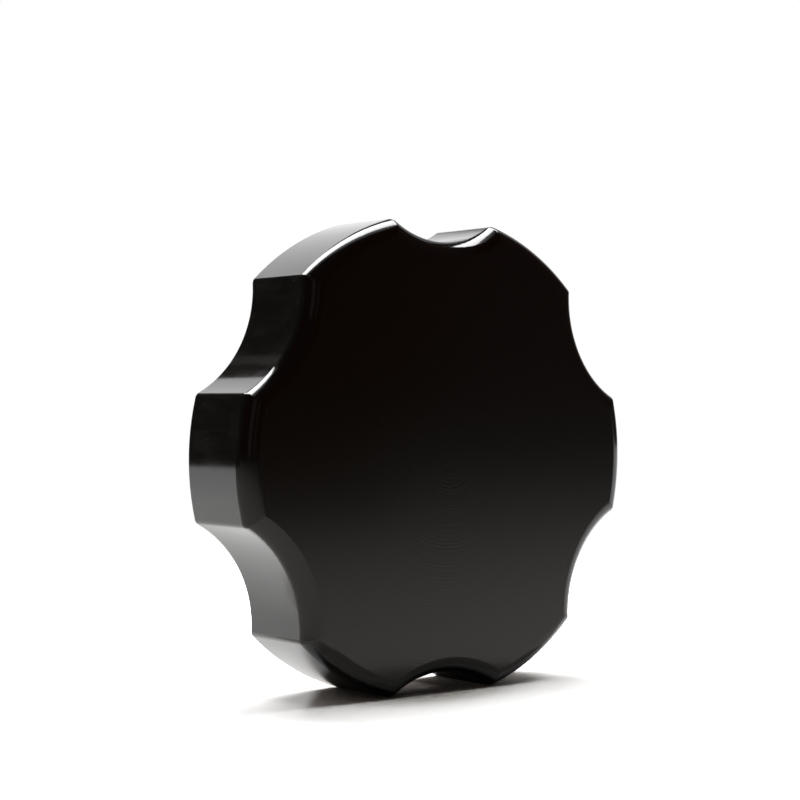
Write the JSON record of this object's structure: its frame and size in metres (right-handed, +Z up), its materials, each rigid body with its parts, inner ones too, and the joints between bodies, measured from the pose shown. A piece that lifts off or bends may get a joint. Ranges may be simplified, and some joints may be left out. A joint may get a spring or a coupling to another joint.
{
  "type": "power steering reservoir cap",
  "caption": "Round screw-on filler cap with a scalloped finger grip, a rolled front edge, a threaded bore and a rubber sealing ring.",
  "frame": {"origin": "on the floor, below the middle of the cap, where it stands on its rim", "axes": "+Y runs along the cap's axis and out of its open back, the front face looks along -Y, and +Z is up"},
  "size_m": [0.0634, 0.013, 0.0611],
  "materials": {
    "anodised_body": "gloss black anodised, turned face",
    "ring_rubber": "smooth black nitrile rubber"
  },
  "bodies": {
    "root": {"cap_body": "anodised_body", "sealing_ring": "ring_rubber"}
  },
  "joints": []
}
